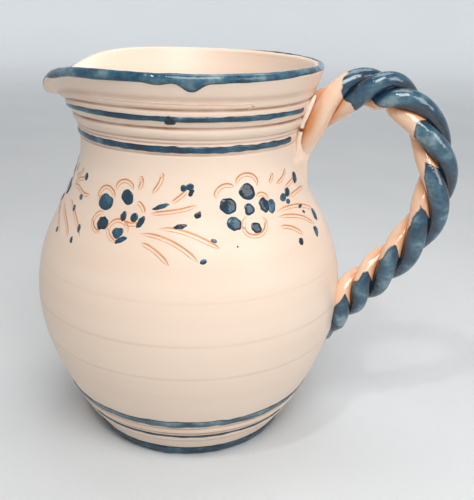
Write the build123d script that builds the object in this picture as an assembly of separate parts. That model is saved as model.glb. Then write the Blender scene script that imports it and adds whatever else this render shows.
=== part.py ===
"""Glazed earthenware jug: thrown body, pulled lip and a three-strand rope handle.

The axis of the jug is Z and its base rests on Z = 0. The handle lies on +X and the lip on
the other side. Lengths are in millimetres and angles in degrees.
"""
import os
from math import atan2, cos, exp, hypot, log, radians, sin, sqrt

from build123d import *

# Thrown body, outside radius at each height
foot_radius = 51.5
foot_round = 1.2
foot_top_radius = 54.0
foot_top_height = 6.2
flank_radius = 70.8
flank_height = 36.0
belly_radius = 81.9
belly_height = 82.0
shoulder_radius = 74.5
shoulder_height = 114.0
throat_radius = 60.9
throat_height = 140.0
neck_radius = 56.2
neck_height = 161.0

# Flared collar above the neck, and its rounded rim
collar_radius = 57.2
collar_height = 168.3
collar_groove = 0.5
collar_level_share = 1 / 3
rim_radius = 66.9
rim_height = 200.0

# Clay thickness
wall = 5.0
base_thickness = 7.0
inner_foot_round = 9.0

# Lip pulled out of the rim, turned a little off the line of the handle
lip_reach = 4.5
lip_droop = 16.0
lip_turn = 8.4
lip_nose_angle = 26.0
lip_throat_angle = 65.0
lip_nose_share = 0.2
lip_droop_angle = 26.2
lip_droop_edge = 1.9
lip_reach_bend = 3.4
lip_droop_bend = 1.9

# Centre line of the rope handle in the XZ plane, in heights above its root and above its tail
handle_root_below_rim = 40.0
handle_rise_out = 80.0
handle_rise_above_root = 27.2
handle_crown_out = 107.0
handle_crown_above_root = 24.2
handle_tail_height = 57.0
handle_reach = 126.8
handle_reach_above_tail = 90.0
handle_bend_out = 115.0
handle_bend_above_tail = 53.8
handle_low_out = 89.5
handle_low_above_tail = 27.0
handle_sink = 6.0

# Three strands of the rope, thickest over the crown and drawn thin at the tail
strand_count = 3
strand_start_angle = 32.0
strand_pitch_root = 90.0
strand_pitch_tail = 49.0
rope_radius_root = 9.0
rope_radius_crown = 10.8
rope_radius_tail = 8.0
rope_crown_length = 58.0
strand_gap = 0.12
seat_gap = 0.1

# Clay smeared over the two ends of the handle
upper_pad_radius = 16.0
upper_pad_half_height = 25.0
upper_pad_above_root = 2.0
upper_pad_proud = 5.5
lower_pad_radius = 15.0
lower_pad_half_height = 20.0
lower_pad_above_tail = 9.0
lower_pad_proud = 4.0

# Blue glaze laid on in raised lines, the neck lines stopping short of the handle
glaze_thickness = 0.5
glaze_edge = 0.12
glaze_seat = 0.05
glaze_bite = 0.6
rim_band_depth = 1.5
upper_stripe_share = 0.438
upper_stripe_width = 2.7
lower_stripe_drop = 2.6
lower_stripe_width = 3.0
stripe_end_gap = 6.0
upper_foot_stripe_height = 28.5
upper_foot_stripe_width = 5.2
lower_foot_stripe_height = 17.6
lower_foot_stripe_width = 1.6
foot_band_low = 0.8
foot_band_below_top = 0.2

# Fineness of the modelled curves
ring_angles = (0, 6, 12, 18, 25, 33, 43, 56, 74, 97, 124, 152)
rim_angles = (0, 45, 90, 135, 180)
collar_steps = 6
section_twist = 30.0
slope_step = 0.01
halvings = 40

# Worked out from the sizes above
flare = atan2(rim_radius - collar_radius, rim_height - collar_height)
nose_height = rim_height - wall / 2 * (1 + sin(flare))
collar_slant = hypot(nose_height - collar_height, rim_radius - collar_radius)
rim_band_share = 1 - rim_band_depth / collar_slant
handle_root_height = rim_height - handle_root_below_rim


def lerp(start, end, share):
    """Value that lies a share of the way from start to end."""
    return start + (end - start) * share


# Thrown body

def wall_line(grow=0.0):
    """Outside line of the thrown wall, from the foot to the collar."""
    return Spline(
        (foot_top_radius + grow, 0, foot_top_height),
        (flank_radius + grow, 0, flank_height),
        (belly_radius + grow, 0, belly_height),
        (shoulder_radius + grow, 0, shoulder_height),
        (throat_radius + grow, 0, throat_height),
        (neck_radius + grow, 0, neck_height),
        (collar_radius + grow, 0, collar_height),
    )


outer_line = wall_line()


def wall_radius(height):
    """Outside radius of the thrown wall at a height between the foot and the rim."""
    if height > collar_height:
        share = (height - collar_height) / (rim_height - collar_height)
        return lerp(collar_radius, rim_radius, share)
    low, high = 0.0, 1.0
    for _ in range(halvings):
        middle = (low + high) / 2
        if outer_line.position_at(middle).Z < height:
            low = middle
        else:
            high = middle
    return outer_line.position_at(low).X


def closed_lines(corners):
    """Straight lines from corner to corner and back to the first."""
    return [Line(a, b) for a, b in zip(corners, corners[1:] + corners[:1])]


def turned(edges):
    """Solid turned about Z from a closed outline in the XZ plane."""
    return revolve(make_face(Wire(edges)), Axis.Z)


def turned_outside():
    """Body below the collar, with no hollow."""
    middle_top = (0, 0, collar_height)
    shape = turned([
        outer_line,
        Line((collar_radius, 0, collar_height), middle_top),
        Line(middle_top, (0, 0, 0)),
        Line((0, 0, 0), (foot_radius, 0, 0)),
        Line((foot_radius, 0, 0), (foot_top_radius, 0, foot_top_height)),
    ])
    return fillet(shape.edges().sort_by(Axis.Z)[0], foot_round)


def turned_hollow():
    """Space inside the body below the collar."""
    heights = (
        flank_height, belly_height, shoulder_height,
        throat_height, neck_height, collar_height,
    )
    inside = [(wall_radius(height) - wall, 0, height) for height in heights]
    floor_edge = (foot_radius - wall, 0, base_thickness)
    shape = turned([
        Spline(floor_edge, *inside),
        Line(inside[-1], (0, 0, collar_height)),
        Line((0, 0, collar_height), (0, 0, base_thickness)),
        Line((0, 0, base_thickness), floor_edge),
    ])
    return fillet(shape.edges().sort_by(Axis.Z)[0], inner_foot_round)


def lip_pull(angle):
    """Share of the lip's reach at an angle from its middle."""
    nose = exp(-((angle / lip_nose_angle) ** 2))
    throat = exp(-((angle / lip_throat_angle) ** 2))
    return lerp(throat, nose, lip_nose_share)


def lip_dip(angle):
    """Share of the lip's droop at an angle from its middle."""
    return exp(-((abs(angle) / lip_droop_angle) ** lip_droop_edge))


def collar_wall(share, angle):
    """Radius and height of the collar's outside, a share of the way up to the rim."""
    up = max(share, 0.0)
    radius = lerp(collar_radius - collar_groove, rim_radius, share)
    height = lerp(collar_height, nose_height, share)
    radius += lip_reach * up**lip_reach_bend * lip_pull(angle)
    height -= lip_droop * up**lip_droop_bend * lip_dip(angle)
    return radius, height


def ring(share, inward=0.0, upward=0.0):
    """Closed curve round the collar, set off from the outside of its wall.

    The offsets run square to the wall and along it, and lie level at the collar's foot.
    """
    angles = list(ring_angles) + [180] + [-angle for angle in reversed(ring_angles[1:])]
    points = []
    for angle in angles:
        radius, height = collar_wall(share, angle)
        below = collar_wall(share - slope_step, angle)
        above = collar_wall(share + slope_step, angle)
        rise = above[1] - below[1]
        run = (above[0] - below[0]) * min(1.0, share / collar_level_share)
        slant = hypot(rise, run)
        radius += (run * upward - rise * inward) / slant
        height += (rise * upward + run * inward) / slant
        turn = radians(180 + lip_turn + angle)
        points.append((radius * cos(turn), radius * sin(turn), height))
    return Wire([Spline(*points, periodic=True)])


def rim_ring(angle, grow=0.0):
    """Ring on the rounded rim at an angle, 0 outside, 90 on top and 180 inside."""
    radius = wall / 2 + grow
    turn = radians(angle)
    return ring(1, wall / 2 - radius * cos(turn), radius * sin(turn))


def skin(*stretches):
    """Faces lofted round the collar, one smooth stretch of rings after another."""
    return [face for rings in stretches for face in Shell.make_loft(rings).faces()]


def collar():
    """Flared collar with its pulled lip, from the neck groove to the rim."""
    shares = [step / collar_steps for step in range(collar_steps + 1)]
    outside = [ring(share) for share in shares]
    inside = [ring(share, wall) for share in reversed(shares)]
    rim = [rim_ring(angle) for angle in rim_angles]
    foot = Face(outside[0], [inside[-1]])
    return Solid(Shell(skin(outside, rim, inside) + [foot]))


def thrown_body():
    """Foot, belly, neck and lip, thrown in one piece."""
    return turned_outside() - turned_hollow() + collar()


def seat_envelope():
    """Space of the wall and its rim band on the handle's side, with the seating clearance."""
    band_radius = rim_radius + glaze_thickness + seat_gap
    band_top = rim_height + glaze_thickness + seat_gap
    corners = [
        (collar_radius + seat_gap, 0, collar_height),
        (band_radius, 0, nose_height),
        (band_radius, 0, band_top),
        (0, 0, band_top),
        (0, 0, foot_top_height),
        (foot_top_radius + seat_gap, 0, foot_top_height),
    ]
    return turned([wall_line(seat_gap)] + [Line(a, b) for a, b in zip(corners, corners[1:])])


# Rope handle

handle_path = Spline(
    (wall_radius(handle_root_height) - handle_sink, 0, handle_root_height),
    (handle_rise_out, 0, handle_root_height + handle_rise_above_root),
    (handle_crown_out, 0, handle_root_height + handle_crown_above_root),
    (handle_reach, 0, handle_tail_height + handle_reach_above_tail),
    (handle_bend_out, 0, handle_tail_height + handle_bend_above_tail),
    (handle_low_out, 0, handle_tail_height + handle_low_above_tail),
    (wall_radius(handle_tail_height) - handle_sink, 0, handle_tail_height),
)
handle_length = handle_path.length


def rope_twist(length):
    """Left-handed turn of the rope at a length from its root, tighter towards the tail."""
    tightening = (strand_pitch_root - strand_pitch_tail) / handle_length
    pitch = strand_pitch_root - tightening * length
    return -360 / tightening * log(strand_pitch_root / pitch)


def rope_radius(length):
    """Radius over the strands at a length from the root."""
    if length < rope_crown_length:
        return lerp(rope_radius_root, rope_radius_crown, length / rope_crown_length)
    share = (length - rope_crown_length) / (handle_length - rope_crown_length)
    return lerp(rope_radius_crown, rope_radius_tail, share)


def strand_outline(place, angle, reach):
    """Outline of one strand: two flats that lie on its neighbours, and a round back."""
    half = radians(180 / strand_count)
    radius = reach / 2
    centre = reach - radius
    apex = strand_gap / 2 / sin(half)
    offset = centre - apex
    flat = offset * cos(half) + sqrt(radius**2 - (offset * sin(half)) ** 2)
    turn = radians(angle)

    def at(x, y):
        return place.from_local_coords((
            x * cos(turn) - y * sin(turn),
            x * sin(turn) + y * cos(turn),
        ))

    def back(side):
        edge = at(apex + flat * cos(half), side * flat * sin(half))
        middle = at(centre + radius * cos(half), side * radius * sin(half))
        return ThreePointArc(edge, middle, at(reach, 0))

    right, left = back(-1), back(1)
    return Wire([
        Line(at(apex, 0), right @ 0),
        right,
        left,
        Line(left @ 0, at(apex, 0)),
    ])


def rope_strand(number):
    """One clay strand, laid round the handle's centre line from neck to belly."""
    steps = round(abs(rope_twist(handle_length)) / section_twist)
    outlines = []
    for step in range(steps + 1):
        share = step / steps
        length = share * handle_length
        place = Plane(
            handle_path.position_at(share),
            x_dir=(0, 1, 0),
            z_dir=handle_path.tangent_at(share),
        )
        angle = strand_start_angle + 360 / strand_count * number + rope_twist(length)
        outlines.append(strand_outline(place, angle, rope_radius(length)))
    return Solid.make_loft(outlines)


def clay_pad(radius, half_height, height, proud):
    """Rounded lump of clay standing proud of the wall, for one end of the handle."""
    side = Plane.XZ * EllipticalCenterArc((0, 0), radius, half_height, -90, arc_size=180)
    middle = Line((0, 0, half_height), (0, 0, -half_height))
    lump = turned([side, middle])
    return Pos(wall_radius(height) + proud - radius, 0, height) * lump


# Blue glaze

def collar_coat(outer, inner):
    """Closed coat on the collar between an outer and a buried set of rings."""
    ends = [
        face
        for place in (0, -1)
        for face in Shell.make_loft([outer[place][place], inner[place][place]], True).faces()
    ]
    return Solid(Shell(skin(*outer) + skin(*inner) + ends))


def rim_glaze():
    """Band of glaze over the rounded rim and a little way down its outside."""
    layers = []
    for grow in (glaze_thickness, -glaze_bite):
        outside = [ring(lerp(rim_band_share, 1, step / 2), -grow) for step in range(3)]
        over = [rim_ring(angle, grow) for angle in rim_angles[:-1]]
        layers.append([outside, over])
    return collar_coat(*layers)


def collar_stripe(middle, width):
    """Raised line of glaze round the collar, its middle a share of the way up."""
    shares = [middle + width * side / 2 / collar_slant for side in (-1, 0, 1)]
    proud = (glaze_edge, glaze_thickness, glaze_edge)
    outer = [ring(share, -grow) for share, grow in zip(shares, proud)]
    inner = [ring(share, glaze_bite) for share in shares]
    return collar_coat([outer], [inner])


def wall_stripe(height, width):
    """Raised line of glaze round the turned wall."""
    levels = (height - width / 2, height, height + width / 2)
    proud = (glaze_edge, glaze_thickness, glaze_edge)
    outer = [(wall_radius(level) + grow, 0, level) for level, grow in zip(levels, proud)]
    inner = [(wall_radius(level) + glaze_seat, 0, level) for level in levels]
    return turned(closed_lines(outer + inner[::-1]))


def foot_glaze():
    """Band of glaze round the straight foot, just clear of the table."""
    high = foot_top_height - foot_band_below_top
    corners = []
    for level, grow in (
        (foot_band_low, glaze_thickness),
        (high, glaze_thickness),
        (high, glaze_seat),
        (foot_band_low, glaze_seat),
    ):
        radius = lerp(foot_radius, foot_top_radius, level / foot_top_height)
        corners.append((radius + grow, 0, level))
    return turned(closed_lines(corners))


def handle_side(half_width):
    """Block on the handle's side that ends a stripe short of the handle."""
    length = 2 * handle_reach
    return Pos(length / 2, 0, rim_height / 2) * Box(length, 2 * half_width, rim_height)


# Nodes of the jug

body = thrown_body()
seat = seat_envelope()
strands = [rope_strand(number) - seat for number in range(strand_count)]
upper_pad = clay_pad(
    upper_pad_radius,
    upper_pad_half_height,
    handle_root_height + upper_pad_above_root,
    upper_pad_proud,
)
lower_pad = clay_pad(
    lower_pad_radius,
    lower_pad_half_height,
    handle_tail_height + lower_pad_above_tail,
    lower_pad_proud,
)
upper_stripe = collar_stripe(upper_stripe_share * rim_band_share, upper_stripe_width)
lower_stripe = wall_stripe(collar_height - lower_stripe_drop, lower_stripe_width)
upper_foot_stripe = wall_stripe(upper_foot_stripe_height, upper_foot_stripe_width)
lower_foot_stripe = wall_stripe(lower_foot_stripe_height, lower_foot_stripe_width)

nodes = {
    "thrown_body": body,
    "upper_luting": upper_pad - seat - strands,
    "lower_luting": lower_pad - seat - strands,
    "rim_glaze": rim_glaze() - body,
    "neck_stripe_upper": upper_stripe - body - handle_side(rope_radius_root + stripe_end_gap),
    "neck_stripe_lower": lower_stripe - handle_side(upper_pad_radius + stripe_end_gap),
    "foot_stripe_upper": upper_foot_stripe,
    "foot_stripe_lower": lower_foot_stripe,
    "foot_glaze": foot_glaze(),
}
for number, strand in enumerate(strands, start=1):
    nodes[f"handle_strand_{number}"] = strand

os.makedirs("parts", exist_ok=True)
for name, shape in nodes.items():
    export_step(shape, f"parts/{name}.step")
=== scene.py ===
"""Glazed earthenware jug with a rope handle: its clay, glaze, painting, light and camera.

Sizes are in millimetres and angles in degrees, in the frame of the part. Meshes are made in metres.
"""

import bpy
import numpy as np
from mathutils import Matrix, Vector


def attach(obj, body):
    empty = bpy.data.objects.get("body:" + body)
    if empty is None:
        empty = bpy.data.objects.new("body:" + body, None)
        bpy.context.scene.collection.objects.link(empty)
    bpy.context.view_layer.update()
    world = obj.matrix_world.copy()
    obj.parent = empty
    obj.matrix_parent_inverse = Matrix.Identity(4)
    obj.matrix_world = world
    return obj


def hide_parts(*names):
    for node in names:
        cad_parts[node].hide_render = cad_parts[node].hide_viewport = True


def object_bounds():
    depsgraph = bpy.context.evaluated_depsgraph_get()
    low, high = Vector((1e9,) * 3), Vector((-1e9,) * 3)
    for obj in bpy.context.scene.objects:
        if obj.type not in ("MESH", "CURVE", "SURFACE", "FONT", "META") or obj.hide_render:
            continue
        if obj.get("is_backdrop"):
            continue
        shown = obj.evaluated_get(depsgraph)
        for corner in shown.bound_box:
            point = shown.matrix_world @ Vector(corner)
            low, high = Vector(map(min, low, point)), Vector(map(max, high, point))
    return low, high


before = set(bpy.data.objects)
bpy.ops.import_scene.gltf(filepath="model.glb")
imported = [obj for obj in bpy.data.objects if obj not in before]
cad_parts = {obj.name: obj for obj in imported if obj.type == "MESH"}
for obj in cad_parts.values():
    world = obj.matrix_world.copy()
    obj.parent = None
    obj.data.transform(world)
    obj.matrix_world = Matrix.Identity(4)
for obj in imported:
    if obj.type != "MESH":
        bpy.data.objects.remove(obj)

CAD_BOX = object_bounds()
MM = 0.001

# Thrown wall, outside radius at each height
FOOT_RADIUS = 51.5
FOOT_ROUND = 1.2
FOOT_TOP = 6.2
WALL_LINE = (
    (54.0, FOOT_TOP),
    (70.8, 36),
    (81.9, 82),
    (74.5, 114),
    (60.9, 140),
    (56.2, 161),
    (57.2, 168.3),
)
FLOOR_LINE = ((0.5, 7), (22, 7), (38, 7.2), (47.5, 11), (55.6, 20), (65.8, 36))
COLLAR_HEIGHT = 168.3
COLLAR_RADIUS = 57.2
RIM_HEIGHT = 200
RIM_RADIUS = 66.9
WALL = 5
FLARE = np.arctan2(RIM_RADIUS - COLLAR_RADIUS, RIM_HEIGHT - COLLAR_HEIGHT)
NOSE_HEIGHT = RIM_HEIGHT - WALL / 2 * (1 + np.sin(FLARE))

# Lip pulled out of the rim
LIP_TURN = 188.4
LIP_REACH = 4.5
LIP_DROOP = 16
LIP_NOSE_ANGLE = 26
LIP_THROAT_ANGLE = 65
LIP_NOSE_SHARE = 0.2
LIP_DROOP_HUMP = (0, 26.2, 1.9)
LIP_REACH_BEND = 3.4
LIP_DROOP_BEND = 1.9

# Lines turned into the wall: level, depth and half width
TURNED_LINES = (
    (188.8, 0.22, 1.8),
    (184, 0.6, 0.8),
    (175.5, 0.75, 0.8),
    (170.1, 0.4, 0.6),
    (168.2, 0.35, 0.55),
    (163, 0.35, 0.6),
    (24.4, 0.4, 0.7),
    (19.7, 0.6, 0.9),
    (17.5, 0.4, 0.6),
    (13, 0.22, 1),
)
# Rounded ridges left between them: level, height and half width
TURNED_RIDGES = (
    (179.8, 0.45, 2.6),
    (172.8, 0.4, 1.8),
    (165.7, 0.25, 2),
    (22.2, 0.6, 1.3),
    (15.3, 0.6, 1.3),
)
# Faint rings on the belly, as colour only: level, strength and half width
BELLY_RINGS = (
    (80, 0.1, 0.9),
    (61.7, 0.12, 0.9),
    (100.5, 0.05, 0.8),
)
# Wobble of the wall: height, and the level below which it fades
WOBBLE = 0.25
WOBBLE_LEVEL = 40

# Blue glaze: thickness, and how deep its edges lie in the wall
GLAZE_THICKNESS = 0.5
GLAZE_SUNK = 0.12
# Band on the rim: lower level, angle that it reaches over the round, and less on the far side
BAND_LOW = 196
BAND_INNER_ANGLE = 112
BAND_FAR_ANGLE = 58
BAND_FAR_HUMP = (118, 48, 6)
# Lip, bare outside: middle, angles off it, and angles over the round that stay blue
LIP_BARE_TURN = 193
LIP_BARE_RUN = (30, -17)
LIP_BAND_LOW = 92
LIP_BAND_HIGH = 168
# Lines round the wall: level, half width, seed, settings, and node of the part
STRIPES = {
    "upper_neck_stripe": (180.2, 1.35, 31, {"stop": 14}, "neck_stripe_upper"),
    "lower_neck_stripe": (165.7, 1.65, 34, {"stop": 16.5}, "neck_stripe_lower"),
    # Upper foot stripe paler towards its upper edge, a painted highlight
    "upper_foot_stripe": (28.6, 2.6, 37, {"tone": (0.35, 0.95)}, "foot_stripe_upper"),
    "lower_foot_stripe": (17.5, 0.7, 43, {}, "foot_stripe_lower"),
    # Foot band a little darker towards its lower edge, painted shade near the floor
    "foot_band": (3.3, 3, 46, {"ragged": 0.03, "tone": (0.3, 0.45)}, "foot_glaze"),
}

# Rope handle: sink and heights of its ends, and radius and height along its middle
HANDLE_SINK = 6
ROOT_HEIGHT = 152
TAIL_HEIGHT = 54
HANDLE_LINE = (
    (66, 176),
    (80, 186.8),
    (95.5, 189.6),
    (110, 181.8),
    (126.8, 147),
    (115.4, 110.6),
    (91, 82.6),
)
STRANDS = 3
# Uneven twist of the rope: length from the root and turn of a groove there
ROPE_TURNS = (
    (0, 250),
    (39.5, 87),
    (61, -36),
    (76.5, -154),
    (103.5, -268),
    (127.5, -382),
    (153, -496),
    (174.5, -612),
    (191, -732),
    (228, -990),
)
# Radius over the strands at the root, the crown, and before and at the thin end in the belly
ROPE_RADII = (9, 10.2, 10.4, 6.2)
CROWN_LENGTH = 58
ROPE_END_LENGTH = 14

# Camera, found from the outline of the jug in a picture of 474 by 500 pixels
FOCAL_PIXELS = 720
LONG_SIDE_PIXELS = 500
SENSOR = 36
CAMERA_DISTANCE = 373.66
CAMERA_HEIGHT = 237.15
CAMERA_TURN = 15
CAMERA_YAW = 3.953
CAMERA_PITCH = 20.518
CAMERA_ROLL = 1.438


# Curves and noise

def lerp(start, end, share):
    """Value a share of the way from start to end."""
    return start + (end - start) * share


def smooth_line(points, count):
    """Evenly spread points on a smooth curve through the given ones."""
    knots = np.array(points, float)
    if len(knots) < 4:
        return curve_of_three(knots, count)
    span = np.linalg.norm(np.diff(knots, axis=0), axis=1)
    marks = np.concatenate([[0], np.cumsum(span)])
    last = len(knots) - 1
    matrix = np.zeros((last + 1, last + 1))
    right = np.zeros_like(knots)
    right[1:-1] = 6 * np.diff(np.diff(knots, axis=0) / span[:, None], axis=0)
    for i in range(1, last):
        matrix[i, i - 1:i + 2] = span[i - 1], 2 * (span[i - 1] + span[i]), span[i]
    matrix[0, :3] = span[1], -span[0] - span[1], span[0]
    matrix[last, -3:] = span[-1], -span[-1] - span[-2], span[-2]
    bend = np.linalg.solve(matrix, right)
    at = np.linspace(0, marks[-1], count)
    i = np.clip(np.searchsorted(marks, at, side="right") - 1, 0, last - 1)
    b = ((at - marks[i]) / span[i])[:, None]
    a = 1 - b
    lift = (a**3 - a) * bend[i] + (b**3 - b) * bend[i + 1]
    return a * knots[i] + b * knots[i + 1] + lift * span[i][:, None] ** 2 / 6


def curve_of_three(knots, count):
    """Curve through three points."""
    share = np.linspace(0, 1, count)[:, None]
    middle = 2 * knots[1] - (knots[0] + knots[2]) / 2
    return (1 - share) ** 2 * knots[0] + 2 * share * (1 - share) * middle + share**2 * knots[2]


def ripple(turn, seed, slowest, fastest):
    """Uneven wave, about 1 high, which joins up after a full turn."""
    chance = np.random.default_rng(seed)
    total = np.zeros_like(np.asarray(turn, float))
    for wave in range(slowest, fastest + 1):
        phase = chance.uniform(0, 2 * np.pi)
        size = chance.normal()
        total = total + size * np.sin(np.radians(wave * turn) + phase) / np.sqrt(wave - slowest + 1)
    return total / 2


def bump(value, middle, half_width, edge=2):
    """Hump of height 1 about a middle value, squarer with a higher edge."""
    return np.exp(-(np.abs((value - middle) / half_width) ** edge))


def full_turn(count):
    """Angles spread evenly over a full turn."""
    return np.linspace(0, 360, count, endpoint=False)


def unit(rows):
    """Rows of vectors, each made 1 long."""
    return rows / np.linalg.norm(rows, axis=1)[:, None]


def from_turn(turn, middle):
    """Angle from a middle turn, between -180 and 180."""
    return (turn - middle + 180) % 360 - 180


def run_in(value, start, span):
    """0 before a start and 1 from a span past it, or the reverse with a span below 0."""
    return np.clip((value - start) / span, 0, 1)


# Outside of the wall

_line = smooth_line(WALL_LINE, 800)
WALL_LEVELS = np.concatenate([[0], _line[:, 1], [NOSE_HEIGHT]])
WALL_RADII = np.concatenate([[FOOT_RADIUS], _line[:, 0], [RIM_RADIUS]])
WALL_LENGTHS = np.concatenate(
    [[0], np.cumsum(np.hypot(np.diff(WALL_LEVELS), np.diff(WALL_RADII)))]
)


def wall_radius(level):
    """Radius of the smooth outside wall at a level."""
    return np.interp(level, WALL_LEVELS, WALL_RADII)


def relief(level, turn):
    """Height of the turned lines, ridges and wobble of the wall."""
    wobble = ripple(turn, seed=5, slowest=2, fastest=5)
    height = WOBBLE * wobble * run_in(level, 0, WOBBLE_LEVEL)
    for line, depth, half_width in TURNED_LINES:
        height = height - depth * bump(level, line, half_width)
    for ridge, tall, half_width in TURNED_RIDGES:
        height = height + tall * bump(level, ridge, half_width)
    return height


def lip_section(level, turn):
    """Radius and height of the wall, with the lip pulled out and down."""
    angle = from_turn(turn, LIP_TURN)
    share = np.clip((level - COLLAR_HEIGHT) / (NOSE_HEIGHT - COLLAR_HEIGHT), 0, None)
    nose = bump(angle, 0, LIP_NOSE_ANGLE)
    throat = bump(angle, 0, LIP_THROAT_ANGLE)
    dip = bump(angle, *LIP_DROOP_HUMP)
    pull = lerp(throat, nose, LIP_NOSE_SHARE)
    radius = wall_radius(level) + LIP_REACH * share**LIP_REACH_BEND * pull
    height = level - LIP_DROOP * share**LIP_DROOP_BEND * dip
    return radius, height


def wall_frame(level, turn):
    """Radius and height of the wall, and its direction upwards as run and rise."""
    step = 0.2
    low = lip_section(level - step, turn)
    high = lip_section(level + step, turn)
    run, rise = high[0] - low[0], high[1] - low[1]
    slant = np.hypot(run, rise)
    radius, height = lip_section(level, turn)
    return radius, height, run / slant, rise / slant


def around(radius, turn, height):
    """Points from radius, turn and height."""
    turn = np.radians(turn)
    return np.stack([radius * np.cos(turn), radius * np.sin(turn), height + 0 * radius], axis=-1)


def outside(level, turn, lift=0.0):
    """Points on the outside of the wall, lifted square off it."""
    radius, height, run, rise = wall_frame(level, turn)
    lift = lift + relief(level, turn)
    return around(radius + rise * lift, turn, height - run * lift)


def rim_round(angle, turn, lift=0.0):
    """Points on the rounded rim: 0 is its outside, 90 its top and 180 its inside."""
    level = np.full_like(turn, NOSE_HEIGHT)
    radius, height, run, rise = wall_frame(level, turn)
    grow = WALL / 2 + lift
    inward = WALL / 2 - grow * np.cos(np.radians(angle))
    upward = grow * np.sin(np.radians(angle))
    out = relief(level, turn)
    return around(
        radius + run * upward - rise * (inward - out),
        turn,
        height + rise * upward + run * inward,
    )


def over_rim(length, turn, lift=0.0):
    """Points over the rim, at lengths past the top of the wall."""
    below = outside(NOSE_HEIGHT + np.minimum(length, 0), turn, lift)
    above = rim_round(np.degrees(np.maximum(length, 0) / (WALL / 2)), turn, lift)
    return np.where((length < 0)[..., None], below, above)


def on_wall(turn, level, across, up, lift=0.0):
    """Points of a flat drawing laid on the wall, across and up from a middle."""
    length = np.interp(level, WALL_LEVELS, WALL_LENGTHS) + up
    there = np.interp(length, WALL_LENGTHS, WALL_LEVELS)
    return outside(there, turn + np.degrees(across / wall_radius(there)), lift)


# Meshes

def new_object(name, data):
    """Object in the scene round a mesh, lamp or camera."""
    made = bpy.data.objects.new(name, data)
    bpy.context.scene.collection.objects.link(made)
    return made


def mesh_piece(name, points, faces, values=None):
    """Smooth mesh from points in millimetres, with named values on its points."""
    mesh = bpy.data.meshes.new(name)
    mesh.from_pydata(points.reshape(-1, 3) * MM, [], faces)
    mesh.validate()
    for key, value in (values or {}).items():
        layer = mesh.attributes.new(key, "FLOAT", "POINT")
        spread = np.broadcast_to(value, points.shape[:-1])
        layer.data.foreach_set("value", np.asarray(spread, np.float32).ravel())
    mesh.polygons.foreach_set("use_smooth", [True] * len(mesh.polygons))
    mesh.update()
    return new_object(name, mesh)


def grid_faces(rows, columns, ring=False):
    """Faces of a grid of points, closed round its columns for a ring."""
    wide = columns if ring else columns - 1
    row, column = np.mgrid[:rows - 1, :wide].reshape(2, -1)
    below, beside = row + 1, (column + 1) % columns
    corners = [(row, column), (row, beside), (below, beside), (below, column)]
    return np.stack([r * columns + c for r, c in corners], axis=1).tolist()


def cap_face(columns, row, flip=False):
    """One face that closes a ring of columns."""
    face = [row * columns + column for column in range(columns)]
    return [face[::-1] if flip else face]


def closed_tube(rows, columns):
    """Faces of a tube of rings, closed at both ends."""
    sides = grid_faces(rows, columns, ring=True)
    return sides + cap_face(columns, 0, flip=True) + cap_face(columns, rows - 1)


def join_parts(name, parts):
    """One piece from several meshes of points, faces and values."""
    points, faces, values = [], [], {}
    count = 0
    for part_points, part_faces, part_values in parts:
        points.append(part_points.reshape(-1, 3))
        faces += [[corner + count for corner in face] for face in part_faces]
        for key, value in part_values.items():
            spread = np.broadcast_to(value, part_points.shape[:-1])
            values.setdefault(key, []).append(spread.ravel())
        count += len(points[-1])
    values = {key: np.concatenate(value) for key, value in values.items()}
    return mesh_piece(name, np.concatenate(points), faces, values)


def place(piece, material, slot, *nodes):
    """Give a piece its material, hang it from the root and hide the parts of its nodes; the slot is
    not used.
    """
    piece.data.materials.append(material)
    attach(piece, "root")
    if nodes:
        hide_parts(*nodes)
    return piece


# Thrown body

BODY_COLUMNS = 288
# Rows of the mesh under the foot, round its edge and up it
UNDERSIDE_RADII = (0.5, 16.0, 32.0, 44.0, FOOT_RADIUS - FOOT_ROUND)
FOOT_EDGE_ANGLES = (22, 45, 68, 90)
FOOT_EDGE_FLARE = 0.4
FOOT_EDGE_LEVEL = 0.5
FOOT_LEVELS = (2.4, 4.2, 5.6)
# Rows up the wall, close where lines are turned into it: from, to and step
ROW_ZONES = (
    (FOOT_TOP, 13, 1.4),
    (13, 33, 0.5),
    (33, 104, 2.4),
    (104, 160, 1.6),
    (160, NOSE_HEIGHT, 0.42),
)
RIM_ANGLES = np.arange(15, 180, 15)
RIM_LEVEL_ANGLE = 20
# Rows inside, with levels that no line outside stains
INSIDE_LEVEL = 400
INNER_WALL_DROP = 2
# Finger ridges inside: height, pitch, and the radius within which they fade
INNER_RIDGE = 0.35
INNER_RIDGE_PITCH = 1.1
INNER_RIDGE_RADIUS = 40


def foot_rows(turn):
    """Rows of points, each with its level, from under the foot to its top."""
    flat = np.zeros_like(turn)
    for radius in UNDERSIDE_RADII:
        yield around(flat + radius, turn, flat), 0
    for angle in FOOT_EDGE_ANGLES:
        swing = np.radians(angle)
        edge = FOOT_RADIUS - FOOT_ROUND * (1 - np.sin(swing)) + FOOT_EDGE_FLARE * angle / 90
        yield around(flat + edge, turn, flat + FOOT_ROUND * (1 - np.cos(swing))), FOOT_EDGE_LEVEL
    for level in FOOT_LEVELS:
        yield outside(flat + level, turn), level


def wall_rows(turn):
    """Rows up the wall and over the rim."""
    flat = np.zeros_like(turn)
    for low, high, step in ROW_ZONES:
        for level in np.arange(low, high, step):
            yield outside(flat + level, turn), level
    yield outside(flat + NOSE_HEIGHT, turn), NOSE_HEIGHT
    for angle in RIM_ANGLES:
        yield rim_round(angle, turn), NOSE_HEIGHT + angle / RIM_LEVEL_ANGLE


def inside_rows(turn):
    """Rows from the rim down the inside."""
    flat = np.zeros_like(turn)
    for level in np.linspace(NOSE_HEIGHT, COLLAR_HEIGHT, 16):
        radius, height, run, rise = wall_frame(flat + level, turn)
        yield around(radius - rise * WALL, turn, height + run * WALL), INSIDE_LEVEL - level
    for radius, height in inner_line():
        ridge = INNER_RIDGE * np.sin(np.radians(turn) + height * INNER_RIDGE_PITCH)
        ridge = ridge * min(1.0, radius / INNER_RIDGE_RADIUS)
        yield around(flat + radius + ridge, turn, flat + height), INSIDE_LEVEL - height


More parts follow.
